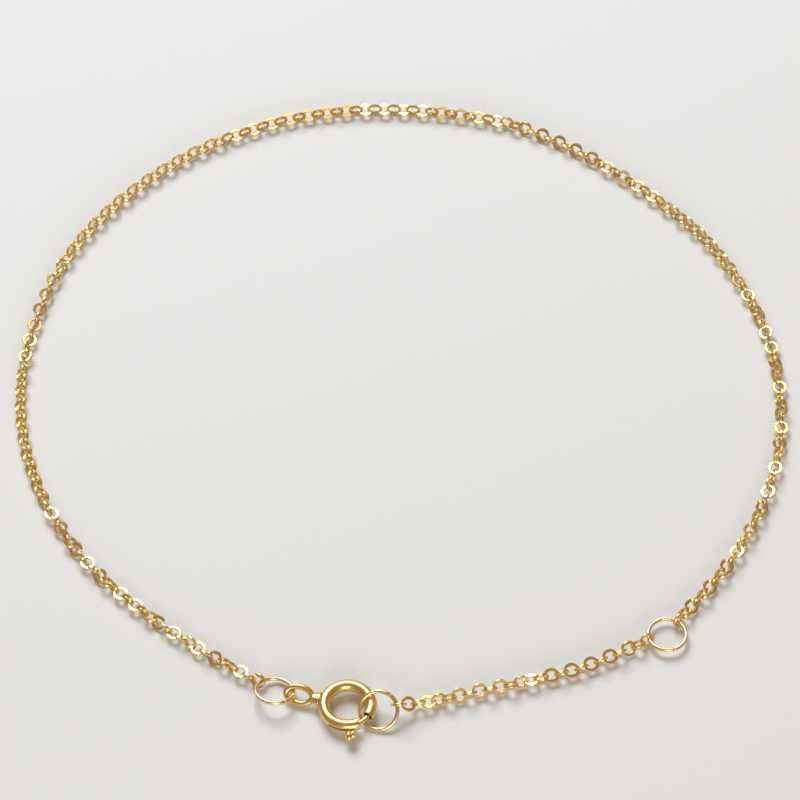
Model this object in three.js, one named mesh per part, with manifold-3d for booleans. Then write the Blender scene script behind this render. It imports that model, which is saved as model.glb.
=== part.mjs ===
// A fine yellow gold cable chain bracelet, lying flat and fastened into a loop.
// The long chain runs round from the ring at the clasp's eye to the sizing ring, and a short
// extender chain runs on from there to the end ring, which the spring ring clasp holds.
// Millimetres, +Z up, with the loop on the plane z = 0 and the clasp on the -Y side.

import * as THREE from "three";
import { mergeVertices } from "three/addons/utils/BufferGeometryUtils.js";
import Module from "manifold-3d";

const wasm = await Module();
wasm.setup();

// Driving dimensions
const LINK = {
  outer: 1.22,
  endWire: 0.17,
  sideWire: 0.31,
  thickness: 0.2,
  flat: 0.6,
  sides: 12,
  wireSides: 6,
};
const CHAIN = { restHeight: 0.61, tubeSteps: 62, tubeSides: 8, endGap: 0.06, firstRoll: 55, lastRoll: 90 };
const EXTENDER = { links: 26, restHeight: 0.61, firstRoll: 54, quarterTurn: 90 };

// What the extender is twisted beyond a quarter turn a link: link number, degrees
const EXTENDER_TWIST = [[1, 0], [2, 10], [3, 18], [7, 88], [11, 88], [16, 16], [22, 13], [26, -30]];
const JUMP_RING = { outer: 3.18, wire: 0.32, sides: 28, wireSides: 8 };
const RING_TO_LINK = 0.21;

const CLASP = {
  centre: [-3.91, -27.64, 0.82],
  yaw: -15,
  radius: 1.775,
  tubeOuter: 0.92,
  tubeBore: 0.66,
  mouthAtKnob: -48,
  mouthAtTip: -17,
  tubeSides: 14,
  boreSides: 10,
  steps: 44,
};
const EYE = {
  reach: 3.78,
  drop: 0.06,
  length: 2.5,
  width: 1.74,
  wire: 0.48,
  tilt: 42,
  sides: 24,
  wireSides: 10,
};
const NECK = { length: 0.6, radiusAtEye: 0.3, radiusAtTube: 0.42, sides: 12 };
const TRIGGER = { wire: 0.34, wireSides: 10, tail: -104, tip: -10, knobAngle: -70, travel: 40, steps: 22 };
const KNOB = { reach: 2.66, radius: 0.38, around: 14, upward: 10, stemRadius: 0.13, stemSides: 10 };
const SLOT = { width: 0.38, spareAngle: 6, steps: 10 };

// Where the three equal jump rings lie: centre, then the turn about X and the turn about Y
const END_RING_LEFT = { centre: [-9.4, -26.33, 0.8], turnX: -17, turnY: 4 };
const END_RING_RIGHT = { centre: [-1.6, -28.18, 0.98], turnX: 32, turnY: -10 };
const SIZING_RING = { centre: [20.2, -21.13, 0.58], turnX: -1, turnY: 0 };

// Where each chain's end link goes through its ring, as an angle round the ring
const HOLDS = { chainOnLeft: 138, chainOnSizing: 58, extenderOnRight: 12, extenderOnSizing: 198 };

// The line that the long chain follows, from the left end ring round to the sizing ring
const CHAIN_ROUTE = [
  [-12.3, -24.3], [-16.0, -21.8], [-19.6, -18.9], [-23.0, -15.6], [-25.9, -11.6], [-28.1, -7.0],
  [-29.4, -1.9], [-29.6, 3.5], [-28.7, 8.8], [-27.0, 13.9], [-24.4, 18.3], [-21.1, 22.0],
  [-17.3, 25.1], [-13.2, 27.4], [-8.8, 29.1], [-4.3, 29.9], [0.2, 30.0], [4.8, 29.5],
  [9.3, 28.4], [13.5, 26.3], [17.4, 23.5], [21.1, 20.3], [24.4, 16.7], [27.0, 12.3],
  [28.9, 7.3], [29.7, 2.0], [29.5, -3.3], [28.2, -8.5], [26.0, -13.2], [23.2, -17.3],
];

// The line that the extender follows, coming down from the end ring and on to the sizing ring
const EXTENDER_ROUTE = [
  [1.0, -27.5, 0.86], [2.0, -27.25, 0.69], [3.8, -26.8, 0.62], [5.7, -26.3, 0.61],
  [7.6, -25.85, 0.61], [9.5, -25.35, 0.61], [11.5, -24.8, 0.61], [13.6, -24.15, 0.61],
  [15.7, -23.2, 0.61],
];

const LENGTH_SAMPLES = 2000;
const MERGE_WITHIN = 1e-5;

const up = new THREE.Vector3(0, 0, 1);
const radians = THREE.MathUtils.degToRad;

function goldMaterial(color, roughness) {
  return new THREE.MeshStandardMaterial({ color, roughness, metalness: 1 });
}

const chainGold = goldMaterial(0xd8a648, 0.22);
const ringGold = goldMaterial(0xe0ae62, 0.18);
const claspGold = goldMaterial(0xd9a441, 0.16);

// A closed geometry as a solid that can be joined and cut
function toSolid(geometry) {
  const bare = geometry.clone();
  bare.deleteAttribute("normal");
  bare.deleteAttribute("uv");
  const merged = mergeVertices(bare, MERGE_WITHIN);
  return new wasm.Manifold(new wasm.Mesh({
    numProp: 3,
    vertProperties: new Float32Array(merged.attributes.position.array),
    triVerts: new Uint32Array(merged.index.array),
  }));
}

function toGeometry(solid) {
  const mesh = solid.getMesh();
  const geometry = new THREE.BufferGeometry();
  geometry.setAttribute("position", new THREE.BufferAttribute(mesh.vertProperties, 3));
  geometry.setIndex(new THREE.BufferAttribute(mesh.triVerts, 1));
  geometry.computeVertexNormals();
  return geometry;
}

// A regular outline with flats towards both axes, given its width across the flats
function flatSided(width, sides) {
  const reach = width / 2 / Math.cos(Math.PI / sides);
  const corners = [];
  for (let i = 0; i < sides; i += 1) {
    const turn = ((i + 0.5) / sides) * Math.PI * 2;
    corners.push(new THREE.Vector2(reach * Math.cos(turn), reach * Math.sin(turn)));
  }
  return new THREE.Shape(corners);
}

// A round outline, given its width across the corners
function roundOutline(width, sides, PathClass = THREE.Shape) {
  const corners = [];
  for (let i = 0; i < sides; i += 1) {
    const turn = (i / sides) * Math.PI * 2;
    corners.push(new THREE.Vector2((width / 2) * Math.cos(turn), (width / 2) * Math.sin(turn)));
  }
  return new PathClass(corners);
}

class Arc extends THREE.Curve {
  constructor(radius, fromDegrees, toDegrees) {
    super();
    this.radius = radius;
    this.from = radians(fromDegrees);
    this.to = radians(toDegrees);
  }

  getPoint(t, target = new THREE.Vector3()) {
    const angle = this.from + (this.to - this.from) * t;
    return target.set(this.radius * Math.cos(angle), this.radius * Math.sin(angle), 0);
  }
}

function sweep(shape, path, steps) {
  return new THREE.ExtrudeGeometry(shape, { extrudePath: path, steps, bevelEnabled: false });
}

// A round ring of round wire, its axis along Z
function wireRing({ outer, wire, sides, wireSides }) {
  return new THREE.TorusGeometry((outer - wire) / 2, wire / 2, wireSides, sides);
}

// Jump rings
function jumpRing(name, place) {
  const mesh = new THREE.Mesh(wireRing(JUMP_RING), ringGold);
  mesh.name = name;
  mesh.position.set(...place.centre);
  mesh.rotation.set(radians(place.turnX), radians(place.turnY), 0, "YXZ");
  mesh.updateMatrixWorld();
  return mesh;
}

// The middle of the end link that holds a ring's wire and leads on towards the next point
function linkOnRing(ring, degrees, next) {
  const reach = (JUMP_RING.outer - JUMP_RING.wire) / 2;
  const angle = radians(degrees);
  const local = new THREE.Vector3(reach * Math.cos(angle), reach * Math.sin(angle), 0);
  const wire = ring.localToWorld(local);
  const onward = next.clone().sub(wire).normalize();
  return wire.addScaledVector(onward, RING_TO_LINK);
}

// A chain link: a round ring of flattened wire, wider at the link's sides than at its two ends,
// which lie along X. The wire's section has six corners: two on its edges, at mid thickness, and
// four on its flat faces, LINK.flat of the way out to the edges.
function linkForm() {
  const geometry = new THREE.TorusGeometry(2, 1, LINK.wireSides, LINK.sides);
  const points = geometry.attributes.position;
  const offCentre = LINK.thickness / 4;
  for (let i = 0; i < points.count; i += 1) {
    const angle = Math.atan2(points.getY(i), points.getX(i));
    const side = Math.sign(Math.hypot(points.getX(i), points.getY(i)) - 2);
    const face = Math.abs(points.getZ(i)) < offCentre ? 0 : Math.sign(points.getZ(i));
    const wire = LINK.endWire + (LINK.sideWire - LINK.endWire) * Math.sin(angle) ** 2;
    const outward = face === 0 ? side : side * LINK.flat;
    const radius = (LINK.outer - wire + wire * outward) / 2;
    points.setXYZ(i, radius * Math.cos(angle), radius * Math.sin(angle), (face * LINK.thickness) / 2);
  }
  geometry.computeVertexNormals();
  return geometry;
}

// Each link's plane holds the chain's line, and is rolled about that line
function placeLink(mesh, point, tangent, rollDegrees) {
  const side = new THREE.Vector3().crossVectors(up, tangent).normalize();
  const lift = new THREE.Vector3().crossVectors(tangent, side);
  const roll = radians(rollDegrees);
  const axis = lift.multiplyScalar(Math.cos(roll)).addScaledVector(side, Math.sin(roll));
  const across = new THREE.Vector3().crossVectors(axis, tangent);
  mesh.quaternion.setFromRotationMatrix(new THREE.Matrix4().makeBasis(tangent, across, axis));
  mesh.position.copy(point);
}

function chainLink(name, curve, share, rollDegrees) {
  const mesh = new THREE.Mesh(linkForm(), chainGold);
  mesh.name = name;
  placeLink(mesh, curve.getPointAt(share), curve.getTangentAt(share), rollDegrees);
  return mesh;
}

function routePoints(route) {
  return route.map(([x, y, z = CHAIN.restHeight]) => new THREE.Vector3(x, y, z));
}

function routeCurve(points) {
  const curve = new THREE.CatmullRomCurve3(points, false, "centripetal");
  curve.arcLengthDivisions = LENGTH_SAMPLES;
  return curve;
}

// The part of a curve between two shares of its length
class Stretch extends THREE.Curve {
  constructor(whole, from, to) {
    super();
    this.whole = whole;
    this.from = from;
    this.to = to;
  }

  getPoint(t, target = new THREE.Vector3()) {
    return this.whole.getPointAt(this.from + (this.to - this.from) * t, target);
  }
}

// The long chain: its two end links, and between them its outer form as one tube
function longChain(leftRing, sizingRing) {
  const route = routePoints(CHAIN_ROUTE);
  const first = linkOnRing(leftRing, HOLDS.chainOnLeft, route[0]).setZ(CHAIN.restHeight);
  const last = linkOnRing(sizingRing, HOLDS.chainOnSizing, route.at(-1)).setZ(CHAIN.restHeight);
  const curve = routeCurve([first, ...route, last]);
  const margin = (LINK.outer / 2 + CHAIN.endGap) / curve.getLength();
  const outline = flatSided(LINK.outer, CHAIN.tubeSides);
  const tube = sweep(outline, new Stretch(curve, margin, 1 - margin), CHAIN.tubeSteps);
  const chain = new THREE.Mesh(tube, chainGold);
  chain.name = "main_chain";
  return [
    chain,
    chainLink("main_chain_first_link", curve, 0, CHAIN.firstRoll),
    chainLink("main_chain_last_link", curve, 1, CHAIN.lastRoll),
  ];
}

function extenderTwist(number) {
  const next = Math.max(1, EXTENDER_TWIST.findIndex(([link]) => link >= number));
  const [start, low] = EXTENDER_TWIST[next - 1];
  const [end, high] = EXTENDER_TWIST[next];
  return THREE.MathUtils.mapLinear(number, start, end, low, high);
}

// The extender: separate interlocking links, turned about a quarter from one to the next
function extenderChain(endRing, sizingRing) {
  const route = routePoints(EXTENDER_ROUTE);
  const first = linkOnRing(endRing, HOLDS.extenderOnRight, route[0]);
  const last = linkOnRing(sizingRing, HOLDS.extenderOnSizing, route.at(-1)).setZ(EXTENDER.restHeight);
  const curve = routeCurve([first, ...route, last]);
  const links = [];
  for (let i = 0; i < EXTENDER.links; i += 1) {
    const name = `extender_link_${String(i + 1).padStart(2, "0")}`;
    const roll = EXTENDER.firstRoll + EXTENDER.quarterTurn * i + extenderTwist(i + 1);
    links.push(chainLink(name, curve, i / (EXTENDER.links - 1), roll));
  }
  return links;
}

// The clasp's eye: an oval of wire, made by spreading a round ring onto an oval line
function ovalWire({ length, width, wire, sides, wireSides }) {
  const a = (length - wire) / 2;
  const b = (width - wire) / 2;
  const geometry = new THREE.TorusGeometry(1, wire / 2, wireSides, sides);
  const points = geometry.attributes.position;
  for (let i = 0; i < points.count; i += 1) {
    const angle = Math.atan2(points.getY(i), points.getX(i));
    const outward = Math.hypot(points.getX(i), points.getY(i)) - 1;
    const normal = new THREE.Vector2(Math.cos(angle) / a, Math.sin(angle) / b).normalize();
    points.setX(i, a * Math.cos(angle) + outward * normal.x);
    points.setY(i, b * Math.sin(angle) + outward * normal.y);
  }
  return geometry;
}

// The clasp's body: a bored tube bent round to two mouths, slotted for the knob, with the eye
function claspBody() {
  const outline = roundOutline(CLASP.tubeOuter, CLASP.tubeSides);
  outline.holes.push(roundOutline(CLASP.tubeBore, CLASP.boreSides, THREE.Path));
  const line = new Arc(CLASP.radius, CLASP.mouthAtTip, 360 + CLASP.mouthAtKnob);
  let body = toSolid(sweep(outline, line, CLASP.steps));

  const eye = ovalWire(EYE);
  eye.rotateX(radians(EYE.tilt));
  eye.translate(-EYE.reach, 0, -EYE.drop);

  const neck = new THREE.CylinderGeometry(NECK.radiusAtEye, NECK.radiusAtTube, NECK.length, NECK.sides);
  neck.rotateZ(Math.PI / 2);
  const wall = (CLASP.tubeOuter - CLASP.tubeBore) / 2;
  const midWall = CLASP.radius + CLASP.tubeOuter / 2 - wall / 2;
  neck.translate(-midWall - NECK.length / 2, 0, -EYE.drop / 2);

  body = body.add(toSolid(eye)).add(toSolid(neck));
  body = body.subtract(toSolid(knobSlot()));

  const mesh = new THREE.Mesh(toGeometry(body), claspGold);
  mesh.name = "clasp_body";
  return mesh;
}

// The slot in the tube's outer side that the knob slides along
function knobSlot() {
  const reachOut = CLASP.radius + CLASP.tubeOuter;
  const from = radians(TRIGGER.knobAngle - TRIGGER.travel - SLOT.spareAngle);
  const to = radians(TRIGGER.knobAngle + SLOT.spareAngle);
  const shape = new THREE.Shape();
  shape.absarc(0, 0, reachOut, from, to, false);
  shape.absarc(0, 0, CLASP.radius, to, from, true);
  const slot = new THREE.ExtrudeGeometry(shape, {
    depth: SLOT.width,
    bevelEnabled: false,
    curveSegments: SLOT.steps,
  });
  return slot.translate(0, 0, -SLOT.width / 2);
}

// The clasp's trigger: the bent wire inside the tube, and the knob that slides it back
function claspTrigger() {
  const line = new Arc(CLASP.radius, TRIGGER.tail, TRIGGER.tip);
  const wire = sweep(roundOutline(TRIGGER.wire, TRIGGER.wireSides), line, TRIGGER.steps);

  const stemLength = KNOB.reach - CLASP.radius;
  const stem = new THREE.CylinderGeometry(KNOB.stemRadius, KNOB.stemRadius, stemLength, KNOB.stemSides);
  stem.rotateZ(-Math.PI / 2);
  stem.translate(CLASP.radius + stemLength / 2, 0, 0);
  stem.rotateZ(radians(TRIGGER.knobAngle));

  const ball = new THREE.SphereGeometry(KNOB.radius, KNOB.around, KNOB.upward);
  ball.translate(KNOB.reach, 0, 0);
  ball.rotateZ(radians(TRIGGER.knobAngle));

  const solid = toSolid(wire).add(toSolid(stem)).add(toSolid(ball));
  const mesh = new THREE.Mesh(toGeometry(solid), claspGold);
  mesh.name = "clasp_trigger";
  return mesh;
}

function springRingClasp() {
  const clasp = new THREE.Group();
  clasp.position.set(...CLASP.centre);
  clasp.rotation.z = radians(CLASP.yaw);
  clasp.add(claspBody(), claspTrigger());
  return clasp;
}

const group = new THREE.Group();
const leftRing = jumpRing("end_ring_left", END_RING_LEFT);
const rightRing = jumpRing("end_ring_right", END_RING_RIGHT);
const sizingRing = jumpRing("sizing_ring", SIZING_RING);
group.add(leftRing, rightRing, sizingRing);
group.add(springRingClasp());
group.add(...longChain(leftRing, sizingRing));
group.add(...extenderChain(rightRing, sizingRing));

export default group;
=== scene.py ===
"""A fine gold cable chain bracelet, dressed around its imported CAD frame."""

import math

import bmesh
import bpy
from bpy.props import FloatProperty, FloatVectorProperty, PointerProperty
from mathutils import Matrix, Vector


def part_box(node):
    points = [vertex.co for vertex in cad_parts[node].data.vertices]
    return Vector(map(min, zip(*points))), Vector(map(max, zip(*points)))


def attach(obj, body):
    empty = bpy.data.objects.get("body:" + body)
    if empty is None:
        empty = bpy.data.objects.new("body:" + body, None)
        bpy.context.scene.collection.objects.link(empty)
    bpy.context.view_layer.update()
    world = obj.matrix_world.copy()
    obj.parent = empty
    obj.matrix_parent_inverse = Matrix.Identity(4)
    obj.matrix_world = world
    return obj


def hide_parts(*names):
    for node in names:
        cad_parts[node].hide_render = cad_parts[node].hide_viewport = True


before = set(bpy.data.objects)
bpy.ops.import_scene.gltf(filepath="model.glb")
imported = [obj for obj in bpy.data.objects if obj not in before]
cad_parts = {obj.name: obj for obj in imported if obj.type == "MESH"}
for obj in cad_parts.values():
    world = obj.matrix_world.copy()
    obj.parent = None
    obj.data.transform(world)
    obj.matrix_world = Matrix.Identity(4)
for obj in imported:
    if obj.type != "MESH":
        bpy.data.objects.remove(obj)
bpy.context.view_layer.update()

bl_info = {
    "name": "Chain bracelet",
    "version": (1, 0, 0),
    "blender": (4, 5, 0),
    "location": "View3D > Sidebar > Bracelet",
    "description": "Makes a fine gold cable chain bracelet with a spring ring clasp",
    "category": "Add Mesh",
}

MM = 0.001
UP = Vector((0, 0, 1))

# The long chain's line from the clasp's eye round to the sizing ring, in metres
CHAIN_ROUTE = [
    (-0.0123, -0.0243), (-0.0160, -0.0218), (-0.0196, -0.0189), (-0.0230, -0.0156),
    (-0.0259, -0.0116), (-0.0281, -0.0070), (-0.0294, -0.0019), (-0.0296, 0.0035),
    (-0.0287, 0.0088), (-0.0270, 0.0139), (-0.0244, 0.0183), (-0.0211, 0.0220),
    (-0.0173, 0.0251), (-0.0132, 0.0274), (-0.0088, 0.0291), (-0.0043, 0.0299),
    (0.0002, 0.0300), (0.0048, 0.0295), (0.0093, 0.0284), (0.0135, 0.0263),
    (0.0174, 0.0235), (0.0211, 0.0203), (0.0244, 0.0167), (0.0270, 0.0123),
    (0.0289, 0.0073), (0.0297, 0.0020), (0.0295, -0.0033), (0.0282, -0.0085),
    (0.0260, -0.0132), (0.0232, -0.0173),
]
STEPS_BETWEEN_POINTS = 40
LINKS_BETWEEN_ENDS = 191

# How far the chain is twisted from an even quarter turn a link: link number, degrees
CHAIN_TWIST = [
    (0, 595), (2, 540), (3, 539), (4, 513), (5, 490), (6, 481), (7, 456), (10, 366),
    (12, 405), (13, 432), (14, 452), (15, 450), (17, 450), (18, 445), (19, 420), (20, 398),
    (21, 387), (22, 360), (24, 400), (27, 473), (28, 475), (29, 450), (31, 495), (47, 490),
    (51, 441), (53, 438), (55, 430), (59, 435), (62, 378), (84, 376), (86, 350), (98, 346),
    (101, 360), (105, 360), (107, 345), (111, 343), (114, 360), (118, 405), (124, 405),
    (127, 450), (129, 426), (131, 450), (133, 450), (137, 467), (143, 467), (147, 455),
    (149, 450), (151, 474), (154, 520), (156, 540), (158, 560), (161, 630), (166, 720),
    (168, 738), (171, 805), (174, 890), (184, 1110), (192, 1350),
]
QUARTER_TURN = 90

# The rolls of the two links that go round the rings, where the twisted chain ends
END_LINK_ROLLS = {"main_chain_first_link": 55, "main_chain_last_link": 90}

# A link lies on its own edge, or is held up to this share of its higher neighbour's height
HELD_UP = 0.88

# Over this many links at each end, the chain's height runs into its ring's
LINKS_TO_RING = 5

EXTENDER_NODES = sorted(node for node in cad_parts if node.startswith("extender_link_"))
EXTENDER_FIRST_ROLL = 54
EXTENDER_TWIST = [(1, 0), (2, 10), (3, 18), (7, 88), (11, 88), (16, 16), (22, 13), (26, -30)]

# The round ring that a link is drawn from, and how its wire is squared and flattened
PATTERN_RADIUS = 2
PATTERN_WIRE = 2
SQUARING = 0.74
FLAT_ABOVE = math.sin(math.radians(60))

# Each ring's middle in millimetres, its turns about X and Y, and where its joint is
JUMP_RINGS = {
    "end_ring_left": ((-9.4, -26.33, 0.8), -17, 4, -60),
    "end_ring_right": ((-1.6, -28.18, 0.98), 32, -10, 48),
    "sizing_ring": ((20.2, -21.13, 0.58), -1, 0, -70),
}

# The clasp's places and sizes in millimetres, and its angles in degrees about its own middle
CLASP_PLACE = Matrix.Translation((-3.91, -27.64, 0.82)) @ Matrix.Rotation(math.radians(-15), 4, "Z")
EYE_PLACE = Matrix.Translation((-3.78, 0, -0.06)) @ Matrix.Rotation(math.radians(42), 4, "X")
MOUTH_AT_TIP = -17
MOUTH_AT_KNOB = -48
SLOT_FROM = -116
SLOT_TO = -64
SLOT_HALF_WIDTH = 0.12
NECK_LENGTH = 0.6
NECK_DROP = 0.03
NECK_RADIUS_AT_TUBE = 0.62
NECK_RADIUS_AT_EYE = 0.42
NECK_FLATNESS = 0.68
TONGUE_TAIL = -104
TONGUE_TIP = -10
KNOB_ANGLE = -70
KNOB_REACH = 2.66
STEM_RADIUS = 0.09

# Each lobe of the knob: how far out and how far along it sits, and its half sizes
KNOB_LOBES = [
    (0.06, -0.14, (0.43, 0.3, 0.38)),
    (-0.03, 0.19, (0.35, 0.25, 0.35)),
]

# Each gold's roughness where it is brightest and where it is dullest, and its unevenness
GOLD_FINISHES = {
    "chain_gold": (0.10, 0.24, 0.35),
    "ring_gold": (0.10, 0.20, 0.25),
    "clasp_gold": (0.06, 0.16, 0.18),
}

# The shares of a gold's red, green and blue in its deeper and in its brighter spots
DEEPER_GOLD = (0.93, 0.88, 0.78)
BRIGHTER_GOLD = (1.04, 1.06, 1.15)

# The stage, in metres, with the camera's frame in millimetres
FLOOR_HALF_WIDTH = 3
WORLD_COLOUR = (0.9, 0.62, 0.4, 1)
WORLD_STRENGTH = 0.32
CAMERA_LOOKS_AT = Vector((0, 0.0012, 0))
CAMERA_FRAME = 36


class ChainSizes(bpy.types.PropertyGroup):
    outer: FloatProperty(
        name="Link size", description="Across the outside of one link",
        default=0.00122, min=0.0005, unit="LENGTH", precision=5)
    side_wire: FloatProperty(
        name="Wire at the sides", description="Width of the flattened wire at a link's sides",
        default=0.00031, min=0.0001, unit="LENGTH", precision=5)
    end_wire: FloatProperty(
        name="Wire at the ends", description="Width of the wire where the next link passes",
        default=0.00017, min=0.0001, unit="LENGTH", precision=5)
    thickness: FloatProperty(
        name="Wire thickness", description="Thickness of the flattened wire",
        default=0.0002, min=0.0001, unit="LENGTH", precision=5)
    gold: FloatVectorProperty(
        name="Chain gold", description="Colour of the polished links",
        default=(1.0, 0.61, 0.12), min=0, max=1, subtype="COLOR")


class RingSizes(bpy.types.PropertyGroup):
    outer: FloatProperty(
        name="Ring size", description="Across the outside of a jump ring",
        default=0.00318, min=0.001, unit="LENGTH", precision=5)
    wire: FloatProperty(
        name="Ring wire", description="Thickness of a jump ring's wire",
        default=0.00032, min=0.0001, unit="LENGTH", precision=5)
    joint: FloatProperty(
        name="Ring joint", description="Gap where the wire's two ends meet, as an angle",
        default=math.radians(0.8), min=0, subtype="ANGLE")
    gold: FloatVectorProperty(
        name="Ring gold", description="Colour of the jump rings, a little rosier",
        default=(1.0, 0.66, 0.24), min=0, max=1, subtype="COLOR")


class ClaspSizes(bpy.types.PropertyGroup):
    radius: FloatProperty(
        name="Bend radius", description="From the clasp's middle to the tube's middle line",
        default=0.001775, min=0.001, unit="LENGTH", precision=5)
    tube: FloatProperty(
        name="Tube width", description="Across the outside of the clasp's tube",
        default=0.00092, min=0.0003, unit="LENGTH", precision=5)
    wall: FloatProperty(
        name="Tube wall", description="Thickness of the tube's wall",
        default=0.00013, min=0.00005, unit="LENGTH", precision=5)
    eye_length: FloatProperty(
        name="Eye length", description="Across the eye along the clasp",
        default=0.0025, min=0.001, unit="LENGTH", precision=5)
    eye_width: FloatProperty(
        name="Eye width", description="Across the eye the other way",
        default=0.00174, min=0.0008, unit="LENGTH", precision=5)
    eye_wire: FloatProperty(
        name="Eye wire", description="Thickness of the eye's wire",
        default=0.00048, min=0.0002, unit="LENGTH", precision=5)
    tongue_wire: FloatProperty(
        name="Tongue wire", description="Thickness of the sliding tongue",
        default=0.00034, min=0.0002, unit="LENGTH", precision=5)
    gold: FloatVectorProperty(
        name="Clasp gold", description="Colour of the clasp's mirror-bright tube",
        default=(1.0, 0.59, 0.1), min=0, max=1, subtype="COLOR")


class StageSettings(bpy.types.PropertyGroup):
    floor: FloatVectorProperty(
        name="Floor", description="Colour of the plain floor",
        default=(0.75, 0.79, 0.83), min=0, max=1, subtype="COLOR")
    key_power: FloatProperty(
        name="Key light", description="Power of the large soft light behind the bracelet",
        default=2.3, min=0, unit="POWER")
    fill_power: FloatProperty(
        name="Fill light", description="Power of the soft light on the camera's side",
        default=1.5, min=0, unit="POWER")
    elevation: FloatProperty(
        name="Camera elevation", description="Height of the camera as an angle above the floor",
        default=math.radians(54), min=0, max=math.radians(90), subtype="ANGLE")
    distance: FloatProperty(
        name="Camera distance", description="From the camera to the middle of the bracelet",
        default=0.4, min=0.1, unit="LENGTH")
    lens: FloatProperty(
        name="Lens", description="Focal length on a 36 mm frame",
        default=230, min=20, unit="CAMERA")


def in_mm(metres):
    return metres / MM


def between(position, table):
    """The value at a position in a table of positions and values."""
    for (start, low), (end, high) in zip(table, table[1:]):
        if position <= end:
            return low + (high - low) * (position - start) / (end - start)
    return table[-1][1]


def through_points(points):
    """A close polyline of the centripetal curve through the points."""
    ahead = 2 * points[0] - points[1]
    beyond = 2 * points[-1] - points[-2]
    held = [ahead, *points, beyond]
    line = []
    for p0, p1, p2, p3 in zip(held, held[1:], held[2:], held[3:]):
        d0, d1, d2 = ((b - a).length ** 0.5 for a, b in ((p0, p1), (p1, p2), (p2, p3)))
        t1 = ((p1 - p0) / d0 - (p2 - p0) / (d0 + d1) + (p2 - p1) / d1) * d1
        t2 = ((p2 - p1) / d1 - (p3 - p1) / (d1 + d2) + (p3 - p2) / d2) * d1
        for step in range(STEPS_BETWEEN_POINTS):
            t = step / STEPS_BETWEEN_POINTS
            bend = -3 * p1 + 3 * p2 - 2 * t1 - t2
            twist = 2 * p1 - 2 * p2 + t1 + t2
            line.append(p1 + t1 * t + bend * t * t + twist * t * t * t)
    line.append(points[-1])
    return line


def evenly_spaced(line, count):
    """Points at equal distances along a polyline, the first and last included."""
    lengths = [0.0]
    for a, b in zip(line, line[1:]):
        lengths.append(lengths[-1] + (b - a).length)
    spaced = []
    at = 0
    for i in range(count):
        wanted = lengths[-1] * i / (count - 1)
        while at < len(line) - 2 and lengths[at + 1] < wanted:
            at += 1
        share = (wanted - lengths[at]) / (lengths[at + 1] - lengths[at])
        spaced.append(line[at].lerp(line[at + 1], share))
    return spaced


def section_at(radius, width, segments):
    """A new mesh with a round section of wire, standing at that radius on X."""
    shape = bmesh.new()
    stand = Matrix(((0, 1, 0, radius), (0, 0, 1, 0), (1, 0, 0, 0), (0, 0, 0, 1)))
    bmesh.ops.create_circle(shape, segments=segments, radius=width / 2, matrix=stand)
    return shape


def spun(shape, degrees, steps, closed):
    """Spins a section about Z, and closes it on itself where it goes all the way round."""
    bmesh.ops.spin(
        shape, geom=shape.verts[:] + shape.edges[:], cent=(0, 0, 0), axis=(0, 0, 1),
        angle=math.radians(degrees), steps=steps, use_merge=closed)
    return shape


def turned_z(degrees):
    return Matrix.Rotation(math.radians(degrees), 4, "Z")


def moved(shape, matrix):
    bmesh.ops.transform(shape, matrix=matrix, verts=shape.verts)
    return shape


def capped(shape):
    """Closes a shape's open ends."""
    rims = [edge for edge in shape.edges if edge.is_boundary]
    bmesh.ops.holes_fill(shape, edges=rims, sides=0)
    return shape


def softened_edges(shape, offset, segments, sharper_than):
    """Bevels the edges that turn by more than that many degrees."""
    bmesh.ops.recalc_face_normals(shape, faces=shape.faces)
    sharp = [
        edge for edge in shape.edges
        if edge.is_manifold and edge.calc_face_angle() > math.radians(sharper_than)]
    bmesh.ops.bevel(
        shape, geom=sharp, offset=offset, offset_type="OFFSET", affect="EDGES",
        segments=segments, profile=0.5, material=-1)
    return shape


def as_mesh(shape, name):
    mesh = bpy.data.meshes.new(name)
    shape.to_mesh(mesh)
    shape.free()
    return mesh


def after_modifiers(shape, *modifiers):
    """The shape once each modifier, a kind and its settings, is applied."""
    mesh = as_mesh(shape, "in_work")
    work = bpy.data.objects.new("in_work", mesh)
    bpy.context.scene.collection.objects.link(work)
    for kind, settings in modifiers:
        modifier = work.modifiers.new(kind, kind)
        for setting, value in settings.items():
            setattr(modifier, setting, value)
    result = bmesh.new()
    result.from_object(work, bpy.context.evaluated_depsgraph_get())
    bpy.data.objects.remove(work)
    bpy.data.meshes.remove(mesh)
    return result


def melted_together(shapes, voxel, smoothing):
    """Several closed shapes as one, with a soft fillet where they meet."""
    joined = shapes[0]
    for shape in shapes[1:]:
        mesh = as_mesh(shape, "in_work")
        joined.from_mesh(mesh)
        bpy.data.meshes.remove(mesh)
    return after_modifiers(
        joined,
        ("REMESH", {"mode": "VOXEL", "voxel_size": voxel, "use_smooth_shade": True}),
        ("SMOOTH", {"factor": 0.5, "iterations": smoothing}))


def finished(name, shape, finish, node, body="bracelet", crease=40):
    """Turns a shape in millimetres into a piece that stands for a CAD node and rides on its body."""
    if not shape.faces:
        raise RuntimeError(f"{name} came out without faces")
    bmesh.ops.recalc_face_normals(shape, faces=shape.faces)
    for face in shape.faces:
        face.smooth = True
    for edge in shape.edges:
        edge.smooth = edge.is_manifold and edge.calc_face_angle() < math.radians(crease)
    bmesh.ops.scale(shape, vec=(MM, MM, MM), verts=shape.verts)
    mesh = as_mesh(shape, name)
    mesh.materials.append(polished_gold(finish))
    piece = bpy.data.objects.new(name, mesh)
    bpy.context.scene.collection.objects.link(piece)
    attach(piece, body)
    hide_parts(node)


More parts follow.
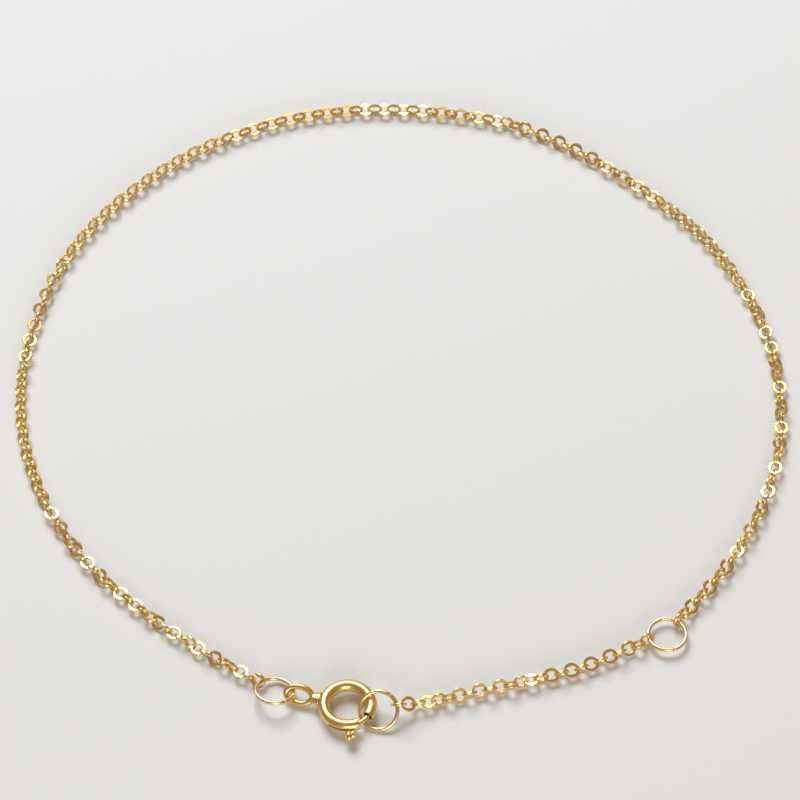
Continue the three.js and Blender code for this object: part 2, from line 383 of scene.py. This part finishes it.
def fine_noise(tree, place, scale, detail):
    """Noise fixed to the piece, with about that many spots to a metre."""
    noise = tree.nodes.new("ShaderNodeTexNoise")
    noise.inputs["Scale"].default_value = scale
    noise.inputs["Detail"].default_value = detail
    tree.links.new(place.outputs["Object"], noise.inputs["Vector"])
    return noise.outputs["Fac"]


def polished_gold(finish):
    """Polished gold with a slight change of colour, fine handling marks and a soft unevenness."""
    if finish in bpy.data.materials:
        return bpy.data.materials[finish]
    scene = bpy.context.scene
    colour = {
        "chain_gold": scene.bracelet_chain.gold,
        "ring_gold": scene.bracelet_rings.gold,
        "clasp_gold": scene.bracelet_clasp.gold,
    }[finish]
    brightest, dullest, unevenness = GOLD_FINISHES[finish]
    material = bpy.data.materials.new(finish)
    material.use_nodes = True
    tree = material.node_tree
    shader = tree.nodes["Principled BSDF"]
    shader.inputs["Metallic"].default_value = 1
    place = tree.nodes.new("ShaderNodeTexCoord")

    ramp = tree.nodes.new("ShaderNodeValToRGB")
    low, high = ramp.color_ramp.elements
    low.position, high.position = 0.35, 0.65
    low.color = (*(channel * share for channel, share in zip(colour, DEEPER_GOLD)), 1)
    high.color = (*(min(1, channel * share) for channel, share in zip(colour, BRIGHTER_GOLD)), 1)
    tree.links.new(fine_noise(tree, place, scale=900, detail=2), ramp.inputs["Fac"])
    tree.links.new(ramp.outputs["Color"], shader.inputs["Base Color"])

    marks = tree.nodes.new("ShaderNodeMapRange")
    marks.inputs["From Min"].default_value = 0.3
    marks.inputs["From Max"].default_value = 0.7
    marks.inputs["To Min"].default_value = brightest
    marks.inputs["To Max"].default_value = dullest
    tree.links.new(fine_noise(tree, place, scale=2600, detail=4), marks.inputs["Value"])
    tree.links.new(marks.outputs["Result"], shader.inputs["Roughness"])

    bump = tree.nodes.new("ShaderNodeBump")
    bump.inputs["Strength"].default_value = unevenness
    bump.inputs["Distance"].default_value = 0.00002
    tree.links.new(fine_noise(tree, place, scale=3200, detail=3), bump.inputs["Height"])
    tree.links.new(bump.outputs["Normal"], shader.inputs["Normal"])
    return material


def link_shape(sizes, steps, corners):
    """A round ring of flattened wire, wider at its sides than at its ends, which lie along X."""
    shape = spun(section_at(PATTERN_RADIUS, PATTERN_WIRE, corners), 360, steps, closed=True)
    outer, side_wire, end_wire, thickness = (
        in_mm(size) for size in (sizes.outer, sizes.side_wire, sizes.end_wire, sizes.thickness))
    for vert in shape.verts:
        around = math.atan2(vert.co.y, vert.co.x)
        outward = math.hypot(vert.co.x, vert.co.y) - PATTERN_RADIUS
        outward = math.copysign(abs(outward) ** SQUARING, outward)
        face = max(-1.0, min(1.0, vert.co.z / FLAT_ABOVE))
        wire = end_wire + (side_wire - end_wire) * math.sin(around) ** 2
        radius = (outer - wire * (1 - outward)) / 2
        vert.co = (radius * math.cos(around), radius * math.sin(around), face * thickness / 2)
    return shape


def link_place(middle, along, roll):
    """Where a link goes: its plane holds the chain's line and is rolled about it."""
    side = UP.cross(along).normalized()
    lift = along.cross(side)
    axis = lift * math.cos(math.radians(roll)) + side * math.sin(math.radians(roll))
    turn = Matrix((along, axis.cross(along), axis)).transposed().to_4x4()
    return Matrix.Translation(middle) @ turn


def directions(points):
    """The chain's direction at each point."""
    padded = [2 * points[0] - points[1], *points, 2 * points[-1] - points[-2]]
    return [(b - a).normalized() for a, b in zip(padded, padded[2:])]


def middle_in_mm(node):
    low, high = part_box(node)
    return (low + high) / 2 / MM


def chain_rolls():
    """The roll of every link of the long chain, its two end links included."""
    return [
        QUARTER_TURN * i + between(i, CHAIN_TWIST)
        for i in range(LINKS_BETWEEN_ENDS + 2)]


def resting_height(sizes, roll):
    """How high a link's middle is when the link lies on the floor at that roll."""
    turn = math.radians(roll)
    half, flat = in_mm(sizes.outer) / 2, in_mm(sizes.thickness) / 2
    return half * abs(math.sin(turn)) + flat * abs(math.cos(turn))


def chain_line():
    """The middle and direction of every link of the long chain."""
    first = middle_in_mm("main_chain_first_link")
    last = middle_in_mm("main_chain_last_link")
    route = [Vector((x / MM, y / MM, first.z)) for x, y in CHAIN_ROUTE]
    points = evenly_spaced(through_points([first, *route, last]), LINKS_BETWEEN_ENDS + 2)
    return points, directions(points)


class BRACELET_OT_main_chain(bpy.types.Operator):
    """Makes the long cable chain, every link threaded through the next"""

    bl_idname = "bracelet.main_chain"
    bl_label = "Main chain"

    def execute(self, context):
        sizes = context.scene.bracelet_chain
        points, along = chain_line()
        rolls = chain_rolls()
        heights = [resting_height(sizes, roll) for roll in rolls]
        one_link = as_mesh(link_shape(sizes, steps=12, corners=6), "one_link")
        shape = bmesh.new()
        for i in range(1, LINKS_BETWEEN_ENDS + 1):
            lying = max(heights[i], HELD_UP * max(heights[i - 1], heights[i + 1]))
            from_ring = min(i, LINKS_BETWEEN_ENDS + 1 - i)
            near_ring = max(0.0, 1 - from_ring / LINKS_TO_RING)
            middle = points[i].copy()
            middle.z = lying + (points[i].z - lying) * near_ring
            start = len(shape.verts)
            shape.from_mesh(one_link)
            shape.verts.ensure_lookup_table()
            bmesh.ops.transform(
                shape, matrix=link_place(middle, along[i], rolls[i]), verts=shape.verts[start:])
        bpy.data.meshes.remove(one_link)
        finished("main_chain_links", shape, "chain_gold", "main_chain")
        for at, (node, roll) in zip((0, -1), END_LINK_ROLLS.items()):
            shape = link_shape(sizes, steps=32, corners=12)
            moved(shape, link_place(points[at], along[at], roll))
            finished(node + "_worn", shape, "chain_gold", node)
        return {"FINISHED"}


class BRACELET_OT_extender(bpy.types.Operator):
    """Makes the extender chain that lengthens the bracelet past its sizing ring"""

    bl_idname = "bracelet.extender"
    bl_label = "Extender chain"

    def execute(self, context):
        sizes = context.scene.bracelet_chain
        points = [middle_in_mm(node) for node in EXTENDER_NODES]
        for i, (node, point, along) in enumerate(zip(EXTENDER_NODES, points, directions(points))):
            roll = EXTENDER_FIRST_ROLL + QUARTER_TURN * i + between(i + 1, EXTENDER_TWIST)
            shape = link_shape(sizes, steps=32, corners=12)
            moved(shape, link_place(point, along, roll))
            finished(node + "_worn", shape, "chain_gold", node)
        return {"FINISHED"}


class BRACELET_OT_jump_rings(bpy.types.Operator):
    """Makes the three jump rings of round wire, each with its butted joint"""

    bl_idname = "bracelet.jump_rings"
    bl_label = "Jump rings"

    def execute(self, context):
        sizes = context.scene.bracelet_rings
        wire = in_mm(sizes.wire)
        radius = (in_mm(sizes.outer) - wire) / 2
        gap = math.degrees(sizes.joint)
        for node, (middle, turn_x, turn_y, joint_at) in JUMP_RINGS.items():
            shape = spun(section_at(radius, wire, segments=20), 360 - gap, steps=80, closed=False)
            softened_edges(capped(shape), offset=wire / 14, segments=2, sharper_than=60)
            place = (
                Matrix.Translation(middle)
                @ Matrix.Rotation(math.radians(turn_y), 4, "Y")
                @ Matrix.Rotation(math.radians(turn_x), 4, "X")
                @ turned_z(joint_at))
            moved(shape, place)
            finished(node + "_wire", shape, "ring_gold", node)
        return {"FINISHED"}


def cut_through(shape, point, normal):
    """Cuts a plane's line into all the faces that it crosses, and takes nothing away."""
    everything = shape.verts[:] + shape.edges[:] + shape.faces[:]
    bmesh.ops.bisect_plane(shape, geom=everything, dist=1e-4, plane_co=point, plane_no=normal)


def slotted_tube(sizes):
    """The clasp's bent tube, open at both mouths and slotted for the knob."""
    radius, width, wall = in_mm(sizes.radius), in_mm(sizes.tube), in_mm(sizes.wall)
    shape = moved(section_at(radius, width, segments=32), turned_z(MOUTH_AT_TIP))
    spun(shape, 360 + MOUTH_AT_KNOB - MOUTH_AT_TIP, steps=90, closed=False)
    for height in (-SLOT_HALF_WIDTH, SLOT_HALF_WIDTH):
        cut_through(shape, (0, 0, height), (0, 0, 1))
    for angle in (SLOT_FROM, SLOT_TO):
        cut_through(shape, (0, 0, 0), turned_z(angle) @ Vector((0, 1, 0)))
    in_slot = []
    for face in shape.faces:
        middle = face.calc_center_median()
        angle = math.degrees(math.atan2(middle.y, middle.x))
        outside = math.hypot(middle.x, middle.y) > radius
        if outside and SLOT_FROM < angle < SLOT_TO and abs(middle.z) < SLOT_HALF_WIDTH:
            in_slot.append(face)
    bmesh.ops.delete(shape, geom=in_slot, context="FACES")
    bmesh.ops.recalc_face_normals(shape, faces=shape.faces)
    bmesh.ops.solidify(shape, geom=shape.faces[:], thickness=wall)
    return softened_edges(shape, offset=wall / 5, segments=2, sharper_than=60)


def eye_with_neck(sizes):
    """The oval wire eye, and the neck that joins it to the tube."""
    wire = in_mm(sizes.eye_wire)
    half_length = (in_mm(sizes.eye_length) - wire) / 2
    half_width = (in_mm(sizes.eye_width) - wire) / 2
    round_radius = 1
    eye = spun(section_at(round_radius, wire, segments=24), 360, steps=72, closed=True)
    for vert in eye.verts:
        around = math.atan2(vert.co.y, vert.co.x)
        outward = math.hypot(vert.co.x, vert.co.y) - round_radius
        normal = Vector((math.cos(around) / half_length, math.sin(around) / half_width, 0))
        on_line = Vector((half_length * math.cos(around), half_width * math.sin(around), vert.co.z))
        vert.co = on_line + normal.normalized() * outward
    bmesh.ops.recalc_face_normals(eye, faces=eye.faces)
    moved(eye, EYE_PLACE)
    reach = in_mm(sizes.radius) + in_mm(sizes.tube) / 2 - in_mm(sizes.wall) / 2
    neck = bmesh.new()
    lay = (
        Matrix.Translation((-reach - NECK_LENGTH / 2, 0, -NECK_DROP))
        @ Matrix.Rotation(math.radians(-90), 4, "Y"))
    bmesh.ops.create_cone(
        neck, cap_ends=True, segments=32, radius1=NECK_RADIUS_AT_TUBE,
        radius2=NECK_RADIUS_AT_EYE, depth=NECK_LENGTH, matrix=lay)
    bmesh.ops.scale(neck, vec=(1, 1, NECK_FLATNESS), verts=neck.verts)
    return melted_together([eye, neck], voxel=0.028, smoothing=12)


class BRACELET_OT_clasp_body(bpy.types.Operator):
    """Makes the spring ring clasp's tube, with its slot, its two mouths and its eye"""

    bl_idname = "bracelet.clasp_body"
    bl_label = "Clasp body"

    def execute(self, context):
        sizes = context.scene.bracelet_clasp
        spare = as_mesh(eye_with_neck(sizes), "eye_in_work")
        eye = bpy.data.objects.new("eye_in_work", spare)
        context.scene.collection.objects.link(eye)
        shape = after_modifiers(
            slotted_tube(sizes), ("BOOLEAN", {"operation": "UNION", "object": eye, "solver": "EXACT"}))
        bpy.data.objects.remove(eye)
        bpy.data.meshes.remove(spare)
        moved(shape, CLASP_PLACE)
        finished("clasp_tube_and_eye", shape, "clasp_gold", "clasp_body")
        return {"FINISHED"}


class BRACELET_OT_clasp_trigger(bpy.types.Operator):
    """Makes the sliding tongue that closes the clasp, with its stem and thumb knob"""

    bl_idname = "bracelet.clasp_trigger"
    bl_label = "Clasp trigger"

    def execute(self, context):
        sizes = context.scene.bracelet_clasp
        radius, wire = in_mm(sizes.radius), in_mm(sizes.tongue_wire)
        tongue = moved(section_at(radius, wire, segments=24), turned_z(TONGUE_TAIL))
        spun(tongue, TONGUE_TIP - TONGUE_TAIL, steps=48, closed=False)
        softened_edges(capped(tongue), offset=wire / 4, segments=4, sharper_than=60)
        stem = bmesh.new()
        lay = (
            turned_z(KNOB_ANGLE) @ Matrix.Translation(((radius + KNOB_REACH) / 2, 0, 0))
            @ Matrix.Rotation(math.radians(90), 4, "Y"))
        bmesh.ops.create_cone(
            stem, cap_ends=True, segments=20, radius1=STEM_RADIUS, radius2=STEM_RADIUS,
            depth=KNOB_REACH - radius, matrix=lay)
        lobes = []
        for outward, along, half_sizes in KNOB_LOBES:
            lobe = bmesh.new()
            bmesh.ops.create_uvsphere(lobe, u_segments=28, v_segments=18, radius=1)
            bmesh.ops.scale(lobe, vec=half_sizes, verts=lobe.verts)
            place = Matrix.Translation((KNOB_REACH + outward, along, 0))
            lobes.append(moved(lobe, turned_z(KNOB_ANGLE) @ place))
        shape = melted_together([tongue, stem, *lobes], voxel=0.024, smoothing=3)
        moved(shape, CLASP_PLACE)
        finished(
            "clasp_tongue_and_knob", shape, "clasp_gold", "clasp_trigger", body="trigger", crease=60)
        return {"FINISHED"}


def plain_floor(colour):
    """A wide matt floor, which isn't part of the bracelet."""
    shape = bmesh.new()
    bmesh.ops.create_grid(shape, x_segments=1, y_segments=1, size=FLOOR_HALF_WIDTH)
    floor = bpy.data.objects.new("floor", as_mesh(shape, "floor"))
    bpy.context.scene.collection.objects.link(floor)
    paper = bpy.data.materials.new("pale_floor")
    paper.use_nodes = True
    shader = paper.node_tree.nodes["Principled BSDF"]
    shader.inputs["Base Color"].default_value = (*colour, 1)
    shader.inputs["Roughness"].default_value = 0.8
    shader.inputs["Specular IOR Level"].default_value = 0.2
    floor.data.materials.append(paper)


def studio_world():
    """The warm dim light that fills the room all round."""
    world = bpy.data.worlds.new("studio")
    world.use_nodes = True
    background = world.node_tree.nodes["Background"]
    background.inputs["Color"].default_value = WORLD_COLOUR
    background.inputs["Strength"].default_value = WORLD_STRENGTH
    bpy.context.scene.world = world


def soft_light(name, power, size, direction, distance, tint):
    """A square soft light that shines on the bracelet from that direction."""
    light = bpy.data.lights.new(name, "AREA")
    light.energy = power
    light.size = size
    light.color = tint
    lamp = bpy.data.objects.new(name, light)
    away = Vector(direction).normalized()
    lamp.location = away * distance
    lamp.rotation_euler = away.to_track_quat("Z", "Y").to_euler()
    bpy.context.scene.collection.objects.link(lamp)


def front_camera(settings):
    """The camera in front of the bracelet, looking down on its middle."""
    camera = bpy.data.cameras.new("camera")
    camera.lens = settings.lens
    camera.sensor_width = CAMERA_FRAME
    camera.clip_start = 0.01
    viewer = bpy.data.objects.new("camera", camera)
    tilt = settings.elevation
    back = Vector((0, -math.cos(tilt), math.sin(tilt)))
    viewer.location = CAMERA_LOOKS_AT + back * settings.distance
    viewer.rotation_euler = (math.radians(90) - tilt, 0, 0)
    bpy.context.scene.collection.objects.link(viewer)
    bpy.context.scene.camera = viewer


class BRACELET_OT_stage(bpy.types.Operator):
    """Makes the plain floor, the soft studio light and the camera"""

    bl_idname = "bracelet.stage"
    bl_label = "Stage"

    def execute(self, context):
        settings = context.scene.bracelet_stage
        plain_floor(settings.floor)
        studio_world()
        context.scene.view_settings.view_transform = "Standard"
        soft_light(
            "key_light", settings.key_power, size=0.29, direction=(-0.2, 0.6, 0.77),
            distance=0.5, tint=(0.96, 0.99, 1))
        soft_light(
            "fill_light", settings.fill_power, size=0.3, direction=(0.15, -0.93, 0.36),
            distance=0.6, tint=(1, 0.99, 0.97))
        front_camera(settings)
        return {"FINISHED"}


class BRACELET_PT_panel(bpy.types.Panel):
    """Lists the bracelet's pieces and their sizes"""

    bl_label = "Chain bracelet"
    bl_idname = "BRACELET_PT_panel"
    bl_space_type = "VIEW_3D"
    bl_region_type = "UI"
    bl_category = "Bracelet"

    def draw(self, context):
        for operator in OPERATORS:
            self.layout.operator(operator.bl_idname)
        for name, group in SETTINGS.items():
            box = self.layout.box()
            for prop in group.__annotations__:
                box.prop(getattr(context.scene, name), prop)


SETTINGS = {
    "bracelet_chain": ChainSizes,
    "bracelet_rings": RingSizes,
    "bracelet_clasp": ClaspSizes,
    "bracelet_stage": StageSettings,
}
OPERATORS = (
    BRACELET_OT_main_chain,
    BRACELET_OT_extender,
    BRACELET_OT_jump_rings,
    BRACELET_OT_clasp_body,
    BRACELET_OT_clasp_trigger,
    BRACELET_OT_stage,
)


def register():
    for name, group in SETTINGS.items():
        bpy.utils.register_class(group)
        setattr(bpy.types.Scene, name, PointerProperty(type=group))
    for operator in OPERATORS:
        bpy.utils.register_class(operator)
    bpy.utils.register_class(BRACELET_PT_panel)


def unregister():
    bpy.utils.unregister_class(BRACELET_PT_panel)
    for operator in reversed(OPERATORS):
        bpy.utils.unregister_class(operator)
    for name, group in reversed(SETTINGS.items()):
        delattr(bpy.types.Scene, name)
        bpy.utils.unregister_class(group)


def main():
    register()
    bpy.ops.bracelet.main_chain()
    bpy.ops.bracelet.extender()
    bpy.ops.bracelet.jump_rings()
    bpy.ops.bracelet.clasp_body()
    bpy.ops.bracelet.clasp_trigger()
    bpy.ops.bracelet.stage()


if __name__ == "__main__":
    main()
